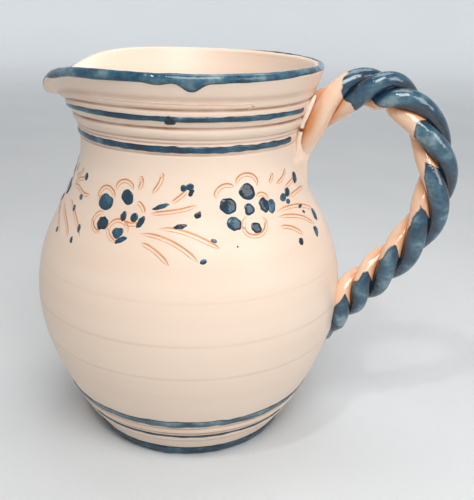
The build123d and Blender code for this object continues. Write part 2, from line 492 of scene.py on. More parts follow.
def inner_line():
    """Radius and height down the inside, from the collar to the floor."""
    upper = np.linspace(COLLAR_HEIGHT - INNER_WALL_DROP, FLOOR_LINE[-1][1], 46)
    wall = [(wall_radius(height) - WALL, height) for height in upper]
    floor = smooth_line(FLOOR_LINE, 20)[::-1]
    return wall + [tuple(point) for point in floor[1:]]


def thrown_body():
    """Foot, wall, rim and inside of the jug, as one closed mesh."""
    turn = full_turn(BODY_COLUMNS)
    rows = [*foot_rows(turn), *wall_rows(turn), *inside_rows(turn)]
    points = np.stack([row for row, level in rows])
    levels = np.array([[level] for row, level in rows], float)
    return mesh_piece("jug_body", points, closed_tube(len(rows), BODY_COLUMNS), {"level": levels})


# Blue glaze

GLAZE_COLUMNS = 720
STRIPE_ROWS = 9
# Thickness at the ends of a line, and how uneven it is, as shares
END_THICKNESS = 0.4
STRIPE_UNEVEN = 0.3
RIM_UNEVEN = 0.25
RIM_STEPS = 26
# Tone of the rim band: its paler glaze, and partly a painted highlight over the rim
RIM_TONE = 0.68
# Ragged edges of the rim band: lower in millimetres, inner in degrees
RIM_LOW_RAGGED = 0.2
RIM_INNER_RAGGED = 5
# Runs of glaze below the rim, and less of it beside the handle: turn, depth and half width
DRIPS = (
    (-74.5, 3.6, 4.3),
    (-87.3, 0.9, 4),
    (-160, 1, 5),
    (35, 1.6, 4),
    (78, 2.4, 3.6),
    (128, 1.4, 4.5),
    (-12, -1.9, 26),
)
DRIP_EDGE = 2.4


def glaze_lift(share, thickness):
    """Height of glaze across its width, sunk at both edges."""
    rise = np.clip(1 - (2 * share - 1) ** 4, 0, 1) ** 0.6
    return lerp(-GLAZE_SUNK, thickness, rise)


def edge_value(share):
    """1 at the edges of a glaze line and 0 along its middle."""
    return np.abs(2 * share - 1) ** 3


def stripe_ends(turn, stop, middle, half_width):
    """Share of a line's width at each turn, rounded where it stops."""
    length = np.radians(np.minimum(turn - stop, 360 - stop - turn)) * wall_radius(middle)
    return np.sqrt(np.clip(1 - (1 - np.clip(length / half_width, 0, 1)) ** 2, 0, 1))


def stripe(name, middle, half_width, seed, stop=None, ragged=0.12, tone=(0.5, 0.5)):
    """Raised glaze line round the wall, which may stop short of the handle."""
    if stop:
        turn = np.linspace(stop, 360 - stop, GLAZE_COLUMNS)
        end = stripe_ends(turn, stop, middle, half_width)
    else:
        turn = full_turn(GLAZE_COLUMNS)
        end = np.ones(GLAZE_COLUMNS)
    low = middle - half_width * end * (1 + ragged * ripple(turn, seed, slowest=6, fastest=60))
    high = middle + half_width * end * (1 + ragged * ripple(turn, seed + 1, slowest=6, fastest=60))
    share = np.linspace(0, 1, STRIPE_ROWS)[:, None]
    level = low + (high - low) * share
    uneven = STRIPE_UNEVEN * ripple(turn, seed + 2, slowest=5, fastest=40)
    thick = GLAZE_THICKNESS * (1 + uneven) * lerp(END_THICKNESS, 1, end)
    points = outside(level, turn, glaze_lift(share, thick))
    faces = grid_faces(STRIPE_ROWS, GLAZE_COLUMNS, ring=not stop)
    return mesh_piece(name, points, faces, {"edge": edge_value(share), "tone": lerp(*tone, share)})


def rim_band_edges(turn):
    """Lengths past the wall's top where the rim's glaze starts and ends."""
    low = BAND_LOW - NOSE_HEIGHT + RIM_LOW_RAGGED * ripple(turn, seed=21, slowest=3, fastest=40)
    for drip, depth, half_width in DRIPS:
        low = low - depth * bump(from_turn(turn, drip), 0, half_width, DRIP_EDGE)
    far = bump(turn, *BAND_FAR_HUMP)
    inner = lerp(BAND_INNER_ANGLE, BAND_FAR_ANGLE, far)
    inner = inner + RIM_INNER_RAGGED * ripple(turn, seed=24, slowest=3, fastest=50)
    return low, np.radians(inner) * WALL / 2


def bare_lip(turn):
    """1 on the lip, whose outside is bare, and 0 away from it."""
    off = np.abs(from_turn(turn, LIP_BARE_TURN))
    bare = run_in(off, *LIP_BARE_RUN)
    return bare * bare * (3 - 2 * bare)


def rim_band():
    """Thick glaze over the rim, with runs down its outside, and only on top at the lip."""
    turn = full_turn(GLAZE_COLUMNS)
    low, inner = rim_band_edges(turn)
    bare = bare_lip(turn)
    low = lerp(low, np.radians(LIP_BAND_LOW) * WALL / 2, bare)
    inner = lerp(inner, np.radians(LIP_BAND_HIGH) * WALL / 2, bare)
    thick = GLAZE_THICKNESS * (1 + RIM_UNEVEN * ripple(turn, seed=27, slowest=4, fastest=50))
    share = np.linspace(0, 1, RIM_STEPS)[:, None]
    length = low + (inner - low) * share
    points = over_rim(length, turn, glaze_lift(share, thick))
    faces = grid_faces(RIM_STEPS, GLAZE_COLUMNS, ring=True)
    return mesh_piece("rim_band", points, faces, {"edge": edge_value(share), "tone": RIM_TONE})


# Rope handle

_root = (wall_radius(ROOT_HEIGHT) - HANDLE_SINK, ROOT_HEIGHT)
_tail = (wall_radius(TAIL_HEIGHT) - HANDLE_SINK, TAIL_HEIGHT)
HANDLE_PATH = smooth_line((_root,) + HANDLE_LINE + (_tail,), 260)
HANDLE_LENGTHS = np.concatenate(
    [[0], np.cumsum(np.linalg.norm(np.diff(HANDLE_PATH, axis=0), axis=1))]
)
HANDLE_LENGTH = HANDLE_LENGTHS[-1]

# Blue on the handle: length from the root where it starts, slant and run-in
BLUE_START = 43
BLUE_SLANT = 5
BLUE_RUN_IN = 12
BLUE_RAGGED = 0.08
# How far round the rope it reaches over the crown, and more near its start
CROWN_REACH = -0.72
CROWN_RUN = (78, -6)
START_REACH = 0.25
START_HUMP = (48, 6)
# How much less past the crown and on the tail
GAP_REACH = 0.6
GAP_HUMP = (83, 5)
TAIL_REACH = 0.35
TAIL_RUN = (192, 10)
# Blue finger on each strand: angle across it, and how far round the rope it reaches
FINGER = (
    (-60, 0.1),
    (-48, -0.32),
    (-36, -0.64),
    (-12, -0.66),
    (20, -0.64),
    (60, -0.71),
)
# Mesh of a strand: rings, points over its outside, and radius of its core
STRAND_RINGS = 230
STRAND_POINTS = 29
STRAND_CORE = 0.4
HALF_STRAND = 180 / STRANDS
# Uneven thickness of the strands: share of the radius, pitch and shift
SWELL = 0.035
SWELL_PITCH = 1.6
SWELL_SHIFT = 120
# Depth of the grooves between the strands, less at both ends
GROOVE = 0.75
END_GROOVE = 0.45
ROOT_GROOVE_HUMP = (18, 16)
TAIL_GROOVE_RUN = (178, 25)
# Broader and paler ridges at the root
ROOT_BROAD = 0.4
ROOT_BROAD_HUMP = (0, 24)
ROOT_PALE = 0.9
ROOT_PALE_HUMP = (0, 14)
# Orange clay in the grooves near the root, and more orange past the crown, partly clay and partly
# painted shade on the handle's inner side
ORANGE_HUMP = (24, 16)
RUDDY = 0.5
RUDDY_RUN = (CROWN_LENGTH, 30)
# Orange streak beside the bead: along the rope, round it, and its slant
STREAK = 1.2
STREAK_ALONG = (24, 11)
STREAK_ROUND = (178, 21)
STREAK_SLANT = 2.2
# Share of the wall that the ends go in
END_DEPTH = 0.6


def rope_twist(length):
    """Left-handed turn of the rope at a length from its root."""
    marks = smooth_line(ROPE_TURNS, 400)
    return np.interp(length, marks[:, 0], marks[:, 1])


def rope_radius(length):
    """Radius over the strands at a length from the root."""
    marks = (0, CROWN_LENGTH, HANDLE_LENGTH - ROPE_END_LENGTH, HANDLE_LENGTH)
    return np.interp(length, marks, ROPE_RADII)


def rope_points(length, angle, radius):
    """Points round the handle's middle, with 90 on its outer side."""
    line = HANDLE_PATH.T
    slope = np.gradient(line, HANDLE_LENGTHS, axis=1)
    x, z, along_x, along_z = (np.interp(length, HANDLE_LENGTHS, row) for row in (*line, *slope))
    out = radius * np.sin(np.radians(angle))
    side = radius * np.cos(np.radians(angle))
    return np.stack([x - along_z * out, side, z + along_x * out], axis=-1)


def keep_in_wall(points):
    """Points of a handle end, held inside the wall."""
    x, y, z = np.moveaxis(points, -1, 0)
    radius = np.hypot(x, y)
    least = wall_radius(np.clip(z, 0, NOSE_HEIGHT)) - WALL * END_DEPTH
    grow = np.maximum(radius, least) / radius
    return np.stack([x * grow, y * grow, z], axis=-1)


def strand_points(number, length, across):
    """Points over a strand with one in its core, and the angles round the rope."""
    swell = ripple(length * SWELL_PITCH + SWELL_SHIFT * number, 40 + number, slowest=1, fastest=9)
    groove = lerp(GROOVE, END_GROOVE, bump(length, *ROOT_GROOVE_HUMP))
    groove = lerp(groove, END_GROOVE, run_in(length, *TAIL_GROOVE_RUN))
    radius = rope_radius(length) * (1 + SWELL * swell) * np.cos(np.radians(across)) ** groove
    angle = HALF_STRAND + 360 / STRANDS * number + rope_twist(length) + across
    middle = STRAND_POINTS // 2
    skin = rope_points(length, angle, radius)
    core = rope_points(length, angle[:, middle:middle + 1], STRAND_CORE + 0 * length)
    return keep_in_wall(np.concatenate([skin, core], axis=1)), angle


def strand_blue(number, length, across, angle):
    """Cover of blue glaze over a strand, above 0 where it is blue."""
    outer = np.sin(np.radians(angle))
    finger = np.interp(across, *zip(*FINGER)) + GAP_REACH * bump(length, *GAP_HUMP)
    finger = finger + TAIL_REACH * run_in(length, *TAIL_RUN)
    crown = CROWN_REACH - START_REACH * bump(length, *START_HUMP)
    reach = lerp(finger, crown, run_in(length, *CROWN_RUN))
    ragged = BLUE_RAGGED * ripple(length * 1.5 + across * 0.5, 50 + number, slowest=2, fastest=6)
    start = length - BLUE_START - BLUE_SLANT * outer**2 + BLUE_RUN_IN * ragged
    return np.minimum(outer - reach + ragged, start / BLUE_RUN_IN)


def strand_ridge(length, across):
    """0 in the grooves and 1 on the ridge of a strand, and more at the root."""
    ridge = np.cos(np.radians(across * 90 / HALF_STRAND))
    ridge = lerp(ridge, ridge**ROOT_BROAD, bump(length, *ROOT_BROAD_HUMP))
    return ridge + ROOT_PALE * bump(length, *ROOT_PALE_HUMP)


def strand_warm(length, ridge, angle):
    """How much orange shows on a strand: orange clay, and past the crown partly painted shade."""
    warm = bump(length, *ORANGE_HUMP) * np.clip(1 - ridge, 0, 1)
    # More orange past the crown: partly painted shade on the inner side
    warm = warm + RUDDY * run_in(length, *RUDDY_RUN) * (1 - 0.5 * ridge)
    straight = angle % 360 + STREAK_SLANT * (length - STREAK_ALONG[0])
    streak = STREAK * bump(straight, *STREAK_ROUND)
    warm[:, :-1] += streak * bump(length, *STREAK_ALONG)
    return warm


def rope_strand(number):
    """One strand of clay, with its cover of blue glaze as a value."""
    length = np.linspace(0, HANDLE_LENGTH, STRAND_RINGS)[:, None]
    across = np.linspace(-HALF_STRAND, HALF_STRAND, STRAND_POINTS)[None, :]
    points, angle = strand_points(number, length, across)
    blue = strand_blue(number, length, across, angle)
    ridge = np.concatenate([strand_ridge(length, across), 0 * length], axis=1)
    values = {
        "blue": np.concatenate([blue, blue[:, :1]], axis=1),
        "ridge": ridge,
        "warm": strand_warm(length, ridge, angle),
    }
    faces = closed_tube(STRAND_RINGS, STRAND_POINTS + 1)
    return mesh_piece(f"rope_strand_{number + 1}", points, faces, values)


# Smears at the two ends: level, half width, height, lengths above and below, and thinning
UPPER_SMEAR = (153, 13, 6.4, 25, 20, 1.6)
LOWER_SMEAR = (65, 9, 4.2, 12, 20, 1)
SMEAR_COLUMNS = 41
SMEAR_ROWS = 81
# Bends of the outline and the slope below, least width, and bend of the section
SMEAR_POINT = 1.4
SMEAR_SLOPE = 1.3
SMEAR_LEAST = 0.03
SMEAR_SECTION = 2.5
# Finger marks: share of the height, and pitch across and up
SMEAR_MARKS = ((0.04, 0.55, 0.4), (0.03, -0.3, 0.5))
# Paleness of a smear below and above, and orange beside its middle
SMEAR_RIDGE = (1.3, 1.1)
SMEAR_RIDGE_SPAN = 12
SMEAR_WARM = 0.4
SMEAR_WARM_HUMP = (-0.3, 0.25)
# Blue on the lower smear: near edge, reach downwards and fade
LOWER_BLUE_EDGE = 0.8
LOWER_BLUE = 12
LOWER_BLUE_FADE = 4


def lower_blue(share, up):
    """Blue over the lower smear, but for its near edge and its point."""
    return np.minimum(share + LOWER_BLUE_EDGE, (up + LOWER_BLUE) / LOWER_BLUE_FADE)


def smear(name, level, half_width, tall, rise, fall, fade, blue=None):
    """Clay smeared on the wall round an end of the handle, pointed below."""
    share = np.linspace(-1, 1, SMEAR_COLUMNS)[None, :]
    up = np.linspace(-fall, rise, SMEAR_ROWS)[:, None]
    above = run_in(up, 0, rise)
    below = run_in(up, 0, -fall)
    width = np.maximum(np.sqrt(1 - above**2) * (1 - below**SMEAR_POINT), SMEAR_LEAST)
    across = share * (half_width * width)
    slope = np.clip((1 - above**2) * (1 - below**SMEAR_SLOPE) ** fade, 0, 1)
    uneven = 1
    for height, pitch_across, pitch_up in SMEAR_MARKS:
        uneven = uneven + height * np.sin(across * pitch_across + up * pitch_up)
    lift = tall * (1 - share**2) ** SMEAR_SECTION * slope * uneven - GLAZE_SUNK
    values = {
        "blue": blue(share, up) if blue else -1,
        "ridge": lerp(*SMEAR_RIDGE, run_in(up, 0, SMEAR_RIDGE_SPAN)),
        "warm": SMEAR_WARM * bump(share, *SMEAR_WARM_HUMP) * above,
    }
    points = on_wall(0, level, across, up, lift)
    return mesh_piece(name, points, grid_faces(SMEAR_ROWS, SMEAR_COLUMNS), values)


# Bead of clay along the near side of the upper end: points, radii and tapers
BEAD_LINE = (
    (64.5, -6, 186),
    (62.5, -7, 181.3),
    (60.4, -8.5, 175.4),
    (59, -8.5, 171.5),
    (58.7, -8.5, 169),
    (58, -8.5, 166.4),
    (57.4, -8.5, 159),
    (56.4, -9, 154.7),
    (56, -9.5, 151.8),
)
BEAD_RADII = (1.5, 1)
BEAD_RINGS = 120
BEAD_POINTS = 14
BEAD_UPPER_TAPER = 8
BEAD_LOWER_TAPER = 4
BEAD_TIP = 0.05
# Pale cream of the bead, partly its glaze and partly a painted highlight along it
BEAD_PALE_HIGHLIGHT = 1.5
# Pinhole in the bead: its place, and how much thinner and darker the bead is there, the dark being
# painted shade of the hole over brown clay
PINHOLE_HUMP = (0.51, 0.03, 4)
PINHOLE_WAIST = 0.35
PINHOLE_DARK = 2


def clay_bead():
    """Thin roll of clay, running out on the neck below the handle."""
    path = smooth_line(BEAD_LINE, BEAD_RINGS)
    share = np.linspace(0, 1, BEAD_RINGS)[:, None]
    heading = unit(np.gradient(path, axis=0))
    out = path * (1, 1, 0) / np.hypot(path[:, :1], path[:, 1:2])
    side = unit(np.cross(heading, out))
    out = np.cross(side, heading)
    angle = np.radians(full_turn(BEAD_POINTS))[None, :, None]
    pinhole = bump(share, *PINHOLE_HUMP)
    upper = np.clip(BEAD_UPPER_TAPER * share, BEAD_TIP, 1) ** 0.5
    lower = np.clip(BEAD_LOWER_TAPER * (1 - share), BEAD_TIP, 1) ** 0.7
    radius = lerp(*BEAD_RADII, share) * (upper * lower)
    radius = radius * (1 - PINHOLE_WAIST * pinhole)
    ring = np.cos(angle) * side[:, None, :] + np.sin(angle) * out[:, None, :]
    points = path[:, None, :] + radius[..., None] * ring
    # Pale ridge, partly a painted highlight, and dark at the pinhole as painted shade of the hole
    values = {"blue": -1, "ridge": BEAD_PALE_HIGHLIGHT - PINHOLE_DARK * pinhole, "warm": 0}
    return mesh_piece("clay_bead", points, closed_tube(BEAD_RINGS, BEAD_POINTS), values)


# Dots: place across and up from the middle of a flower, half sizes and tilt. Lines: such places
LEFT_DOTS = (
    (-12, 4.7, 4.9, 4, 0),
    (0, 9, 3.2, 3.9, 10),
    (-10.8, -5.3, 3.3, 3.7, 0),
    (0, 0, 1.8, 2.4, 0),
    (5.6, 0.2, 2.1, 2.2, 0),
    (9.3, -1.5, 1.7, 3.1, -25),
    (-1, -8, 3.2, 2.6, 20),
    (1.6, -11, 3.2, 1.5, 28),
)
LEFT_LINES = (
    ((-16.5, 4.3), (-17, 8.5), (-13, 11.7), (-9, 10.5), (-7, 7.5)),
    ((-6.5, 11.4), (-6, 14.3), (-3.2, 16.1), (0.2, 15.7), (2.3, 12.7)),
    ((-11.3, -0.5), (-16, -2.4), (-17, -6.5), (-14.2, -9.3), (-10.7, -9.7)),
    ((5.4, 7.5), (8.1, 5.9), (10, 2.9)),
    ((1, -2.1), (4.5, -3.2), (8.3, -2)),
    ((4.1, -7.3), (0.6, -2.6), (-3.8, -2.9), (-6.6, -7.2), (-4.1, -11.1), (0.1, -12.2)),
    ((4.9, 19.2), (6.3, 16.9), (5.1, 13)),
    ((15.2, 21.8), (15.4, 18), (12, 11.9)),
)
RIGHT_DOTS = (
    (-10.2, 2.4, 4.3, 4, 0),
    (0.4, 8, 4.4, 4.1, 0),
    (0, -0.2, 2.9, 2.9, 0),
    (8.7, 0.6, 3.3, 3.5, 0),
    (12.9, -0.6, 2.6, 3.6, -10),
    (-9, -6, 3.5, 3.7, 0),
    (1.7, -9.2, 2.9, 2.7, 0),
)
RIGHT_LINES = (
    ((-4.6, 11.3), (-2.5, 15.3), (1.3, 16), (5.1, 14.2), (6.1, 10.1)),
    ((-15.3, 6.1), (-13.8, 10.2), (-9.7, 12), (-6, 10.5)),
    ((4.9, 5.3), (8.6, 5.9), (11.7, 3.1)),
    ((-1.4, -3.1), (-4.5, -6.5), (-4.2, -10.8), (-0.1, -13), (4.6, -12.1), (7.4, -8.2),
     (6, -4.6)),
    ((15.5, 15), (15.7, 12.4), (13.6, 10.4)),
    ((26.5, 15.3), (25, 11.7), (18.7, 9)),
)
MIDDLE_SPRAY_DOTS = (
    (17.2, 6.4, 4.2, 1.2, 22),
    (26.2, 15.2, 1.6, 1.6, 0),
    (29, 15.8, 1.9, 1.7, 0),
    (29.9, 13.3, 1.3, 2, -15),
    (28, -2.3, 3.2, 1.3, 10),
    (34.9, 3, 1.7, 1.7, 0),
    (42.5, -18.4, 1.7, 1.3, 0),
    (45.1, -9, 1.7, 0.9, -25),
)
MIDDLE_SPRAY = (
    ((22, 8.5), (25, 11), (27.8, 14)),
    ((13, 2.7), (22.9, 4.4), (28.5, 5.7), (33.5, 7.5)),
    ((18.6, -3.8), (27.6, -4.2), (38.4, -7.8), (48.8, -12.8)),
    ((10.5, -6.9), (20.3, -7.8), (31.4, -12.4), (40.2, -18.7)),
    ((11.9, -11.2), (19.1, -14), (27.3, -20.3)),
)
RIGHT_SPRAY_DOTS = (
    (36, 8.7, 2.4, 3.1, 10),
    (26, 3.6, 2.4, 2.2, 0),
    (22, 1.8, 2.6, 2, 0),
    (25.3, -0.8, 1.8, 1.4, 0),
    (35.2, -5.4, 2.2, 1.1, 0),
    (37.2, -8.8, 1.6, 0.8, -30),
    (49.6, -13.4, 2, 4.2, 15),
    (44.4, -20.5, 2.2, 3, 10),
    (27.6, -21.2, 1.9, 1.9, 0),
    (-9.8, -16.7, 0.5, 0.5, 0),
)
RIGHT_SPRAY = (
    ((25.2, 5.8), (30, 7.4), (34.7, 8.2)),
    ((27, 1), (36, 2), (45, 1.9)),
    ((15.7, -4), (27.7, -3.8), (39.6, -6.5), (50.4, -11.4)),
    ((15.6, -6.6), (29, -8.9), (39.4, -13.5), (44.8, -17.3)),
    ((15.3, -11.4), (23.4, -13.5), (30.6, -18.7)),
)
FAR_SPRAY_DOTS = (
    (-31, 12.9, 1.7, 2.2, -20),
    (-32, 2.6, 1.7, 1.5, 0),
    (-35.7, -3.8, 1.4, 1.7, 0),
    (-25.8, -11.3, 1.3, 2.3, 10),
    (-29.4, -17.9, 1.2, 1.8, 0),
    (-48.1, -18, 1.6, 1.5, 0),
)
FAR_SPRAY = (
    ((-31.7, 12.1), (-37, 10.5), (-42, 8), (-43.5, 5)),
    ((-44, 4.5), (-36, 6), (-32.3, 5.1), (-24.4, 5.9)),
    ((-64.5, -8.3), (-54, -12.5), (-43.7, -18.6)),
    ((-55.1, -5.6), (-40.5, -11.1), (-33.5, -17.5)),
    ((-44.2, -1.3), (-32.6, -6.5), (-23.5, -14.8)),
)
NOTHING = ((), ())
LEFT_FLOWER = (LEFT_DOTS, LEFT_LINES)
RIGHT_FLOWER = (RIGHT_DOTS, RIGHT_LINES)
MIDDLE = (MIDDLE_SPRAY_DOTS, MIDDLE_SPRAY)
BESIDE_HANDLE = (RIGHT_SPRAY_DOTS, RIGHT_SPRAY)
BESIDE_LIP = (FAR_SPRAY_DOTS, FAR_SPRAY)
# Flowers round the shoulder: turn, level, flower and spray
FLOWERS = (
    (-48.9, 138.1, RIGHT_FLOWER, BESIDE_HANDLE),
    (-104.0, 134.4, LEFT_FLOWER, MIDDLE),
    (-104.0, 134.4, NOTHING, BESIDE_LIP),
    (-166.0, 135.5, RIGHT_FLOWER, NOTHING),
    (146.0, 136.0, LEFT_FLOWER, BESIDE_HANDLE),
    (91.0, 135.0, RIGHT_FLOWER, MIDDLE),
    (37.0, 137.0, LEFT_FLOWER, MIDDLE),
)
# Faint line on the collar that ends in a small slip of the tool: turn, level and line
FLAWS = (
    (-50, 185.6, ((-80, 0.8), (-55, 1), (-30, 0.8), (-5, 0.8))),
    (-50, 185.6, ((-7, 0.8), (-2, 0.6), (0.6, 0.2), (-0.8, -1.8))),
)
FLAW_STRENGTH = 0.23
# Blot on the upper stripe, as a dot
BLOT = {
    "turn": -83.4, "level": STRIPES["upper_neck_stripe"][0] - 0.7, "across": 0, "up": 0,
    "wide": 3.1, "tall": 2.3, "tilt": 0, "seed": 7, "tone": -0.4,
}
DOT_RINGS = 7
DOT_SPOKES = 30
# Dots: height, half size from which it is full, unevenness and tones
DOT_HEIGHT = 0.55
DOT_FULL_SIZE = 2.2
DOT_UNEVEN = 0.1
DOT_TONES = (0.0, 0.6)
# Section of a scratched line: place across its half width, height, and brown: orange clay on both
# lips, darker on the upper lip as painted shade of the groove
LINE_SECTION = (
    (-1, -0.12, 0.1),
    (-0.78, 0.14, 0.6),
    (-0.55, 0.05, 0.2),
    (-0.2, 0.03, 0),
    (0.1, 0.03, 0),
    (0.38, 0.1, 0.55),
    (0.68, 0.24, 1),
    (1, -0.12, 0.5),
)
LINE_HALF_WIDTH = 1.2
# Ends of a line: taper, width and height at the tip, and stain and painted shade at the start
LINE_TAPER = 2.2
LINE_TIP_WIDTH = 0.12
LINE_TIP_HEIGHT = 0.3
LINE_START_STAIN_AND_SHADE = 0.45
LINE_STAIN_AND_SHADE_RISE = 2.5


def painted_dot(turn, level, across, up, wide, tall, tilt, seed, tone=None):
    """Points, faces and values of one raised dot of blue glaze."""
    angle = full_turn(DOT_SPOKES)
    uneven = 1 + DOT_UNEVEN * ripple(angle, seed, slowest=2, fastest=7)
    share = np.linspace(0.02, 1, DOT_RINGS)[:, None]
    x = share * wide * uneven * np.cos(np.radians(angle))
    y = share * tall * uneven * np.sin(np.radians(angle))
    swing = np.radians(tilt)
    height = DOT_HEIGHT * min(1.0, min(wide, tall) / DOT_FULL_SIZE)
    lift = lerp(-GLAZE_SUNK, height, np.clip(1 - share**5, 0, 1) ** 0.7)
    points = on_wall(
        turn,
        level,
        across + x * np.cos(swing) - y * np.sin(swing),
        up + x * np.sin(swing) + y * np.cos(swing),
        lift,
    )
    faces = grid_faces(DOT_RINGS, DOT_SPOKES, ring=True) + cap_face(DOT_SPOKES, 0, flip=True)
    if tone is None:
        tone = np.random.default_rng(seed).uniform(*DOT_TONES)
    return points, faces, {"edge": share**6, "tone": tone}


def scratched_line(turn, level, points, strength=1.0):
    """Points, faces and values of one scratched line with raised lips."""
    path = smooth_line(points, 9 * len(points))
    heading = unit(np.gradient(path, axis=0))
    beside = np.stack([-heading[:, 1], heading[:, 0]], axis=1)
    # Turn the section so that its darker lip, painted shade of the groove, lies uppermost
    upper = np.where(beside[:, 1:] < 0, -1.0, 1.0)
    share = np.linspace(0, 1, len(path))[:, None]
    width = LINE_HALF_WIDTH * np.clip(np.sin(np.pi * share) * LINE_TAPER, LINE_TIP_WIDTH, 1) ** 0.7
    across, profile, stain_and_shade = np.array(LINE_SECTION).T
    side = across * width * upper
    x = path[:, :1] + beside[:, :1] * side
    y = path[:, 1:] + beside[:, 1:] * side
    lift = profile * np.clip(width / LINE_HALF_WIDTH, LINE_TIP_HEIGHT, 1)
    made = on_wall(turn, level, x, y, lift)
    strong = strength * np.clip(LINE_START_STAIN_AND_SHADE + LINE_STAIN_AND_SHADE_RISE * share, 0, 1)
    return made, grid_faces(len(path), len(across)), {"stain_and_shade": stain_and_shade * strong}


def painting():
    """The painted dots as one piece, and the scratched lines as another."""
    dots, lines = [], []
    for number, (turn, level, flower, spray) in enumerate(FLOWERS):
        for order, dot in enumerate(flower[0] + spray[0]):
            dots.append(painted_dot(turn, level, *dot, seed=100 * number + order))
        for line in flower[1] + spray[1]:
            lines.append(scratched_line(turn, level, line))
    lines += [scratched_line(*flaw, FLAW_STRENGTH) for flaw in FLAWS]
    dots.append(painted_dot(**BLOT))
    return join_parts("painted_dots", dots), join_parts("scratched_lines", lines)


# Materials

class Surface:
    """Procedural material round one Principled shader."""

    def __init__(self, name):
        self.material = bpy.data.materials.new(name)
        self.material.use_nodes = True
        self.nodes = self.material.node_tree.nodes
        self.shader = self.nodes["Principled BSDF"]
        self.place = self.nodes.new("ShaderNodeTexCoord").outputs["Object"]

    def link(self, source, target):
        self.material.node_tree.links.new(source, target)

    def put(self, value, socket):
        """Link an output, or set a plain value."""
        if isinstance(value, bpy.types.NodeSocket):
            self.link(value, socket)
        else:
            socket.default_value = value

    def value(self, name):
        """Named value on the points of the mesh."""
        node = self.nodes.new("ShaderNodeAttribute")
        node.attribute_name = name
        return node.outputs["Fac"]

    def noise(self, scale, detail=4.0, stretch=(1, 1, 1)):
        """Noise from 0 to 1: waves per metre, finer layers, and stretch."""
        fit = self.nodes.new("ShaderNodeMapping")
        fit.inputs["Scale"].default_value = stretch
        self.link(self.place, fit.inputs["Vector"])
        node = self.nodes.new("ShaderNodeTexNoise")
        node.inputs["Scale"].default_value = scale
        node.inputs["Detail"].default_value = detail
        self.link(fit.outputs["Vector"], node.inputs["Vector"])
        return node.outputs["Fac"]

    def math(self, kind, first, second=0.0):
        """One step of arithmetic."""
        node = self.nodes.new("ShaderNodeMath")
        node.operation = kind
        self.put(first, node.inputs[0])
        self.put(second, node.inputs[1])
        return node.outputs[0]

    def range(self, value, low, high, out_low=0.0, out_high=1.0):
        """Value taken smoothly from one range to another."""
        node = self.nodes.new("ShaderNodeMapRange")
        node.interpolation_type = "SMOOTHSTEP"
        self.put(value, node.inputs["Value"])
        ends = {"From Min": low, "From Max": high, "To Min": out_low, "To Max": out_high}
        for key, number in ends.items():
            node.inputs[key].default_value = number
        return node.outputs["Result"]

    def times(self, first, second):
        """Product of two values."""
        return self.math("MULTIPLY", first, second)

    def ramp(self, value, stops):
        """Colours along a value, as pairs of place and colour."""
        node = self.nodes.new("ShaderNodeValToRGB")
        band = node.color_ramp
        while len(band.elements) < len(stops):
            band.elements.new(1.0)
        for element, (place_on, colour) in zip(band.elements, stops):
            element.position = place_on
            element.color = (*colour, 1.0)
        self.put(value, node.inputs["Fac"])
        return node.outputs["Color"]

    def mix(self, share, first, second):
        """Colour a share of the way from the first to the second."""
        node = self.nodes.new("ShaderNodeMix")
        node.data_type = "RGBA"
        self.put(share, node.inputs["Factor"])
        for key, colour in (("A", first), ("B", second)):
            socket = [s for s in node.inputs if s.name == key and s.type == "RGBA"][0]
            self.put((*colour, 1.0) if isinstance(colour, tuple) else colour, socket)
        return [s for s in node.outputs if s.type == "RGBA"][0]

    def finish(self, colour, roughness, height, depth):
        """Join colour, roughness and a bump in metres to the shader."""
        node = self.nodes.new("ShaderNodeBump")
        node.inputs["Distance"].default_value = depth
        node.inputs["Strength"].default_value = 1.0
        self.link(height, node.inputs["Height"])
        self.link(node.outputs["Normal"], self.shader.inputs["Normal"])
        self.put(colour, self.shader.inputs["Base Color"])
        self.put(roughness, self.shader.inputs["Roughness"])
        return self.material


CREAM = (0.87, 0.69, 0.55)
PALE_CREAM = (0.90, 0.74, 0.61)
PINK_CREAM = (0.83, 0.62, 0.48)
# Brown: stain in the turned lines, and painted shade on the scratched upper lips and in the
# handle's deepest grooves
STAIN_AND_SHADE = (0.36, 0.13, 0.045)
DARK_BROWN = (0.10, 0.022, 0.006)
ORANGE = (0.75, 0.31, 0.11)
PEACH = (0.76, 0.42, 0.24)
ROPE_CREAM = (0.86, 0.60, 0.43)
NAVY = (0.008, 0.018, 0.030)
CHARCOAL = (0.013, 0.031, 0.050)
BLUE = (0.008, 0.055, 0.105)
TEAL = (0.040, 0.118, 0.168)
PALE_BLUE = (0.200, 0.290, 0.330)
BLUE_STOPS = ((0.28, NAVY), (0.45, CHARCOAL), (0.62, BLUE), (0.78, TEAL), (0.98, PALE_BLUE))
# Thick glaze of the rope, glossier than the rest
ROPE_IOR = 1.75
# Least and most roughness, and depth of the bump in metres
CREAM_ROUGH = (0.34, 0.42)
BLUE_ROUGH = (0.04, 0.10)
ROPE_ROUGH = (0.04, 0.09)
SCRATCH_ROUGH = (0.2, 0.35)
PAPER_ROUGH = (0.75, 0.9)
CREAM_BUMP = 0.00008
BLUE_BUMP = 0.0005
SCRATCH_BUMP = 0.0003
PAPER_BUMP = 0.0002
# Stain in a turned line: full distance, spread to its half width, strength to its depth
STAIN_CORE = 0.15
STAIN_SPREAD = 1.3
STAIN_STRENGTH = 1.3


def cream_colour(look):
    """Cream glaze with soft clouds and faint bands from the wheel."""
    clouds = look.noise(9, 1)
    bands = look.noise(14, 2, (0.12, 0.12, 4))
    colour = look.mix(look.range(clouds, 0.1, 0.9, 0, 1), PINK_CREAM, CREAM)
    return look.mix(look.range(bands, 0.2, 0.8, 0, 0.9), colour, PALE_CREAM)


def cream_height(look):
    """Fine wheel lines and the slight unevenness of glaze."""
    lines = look.noise(40, 2, (0.05, 0.05, 6))
    skin = look.noise(90, 1)
    return look.math("ADD", look.times(lines, 0.5), look.times(skin, 0.5))


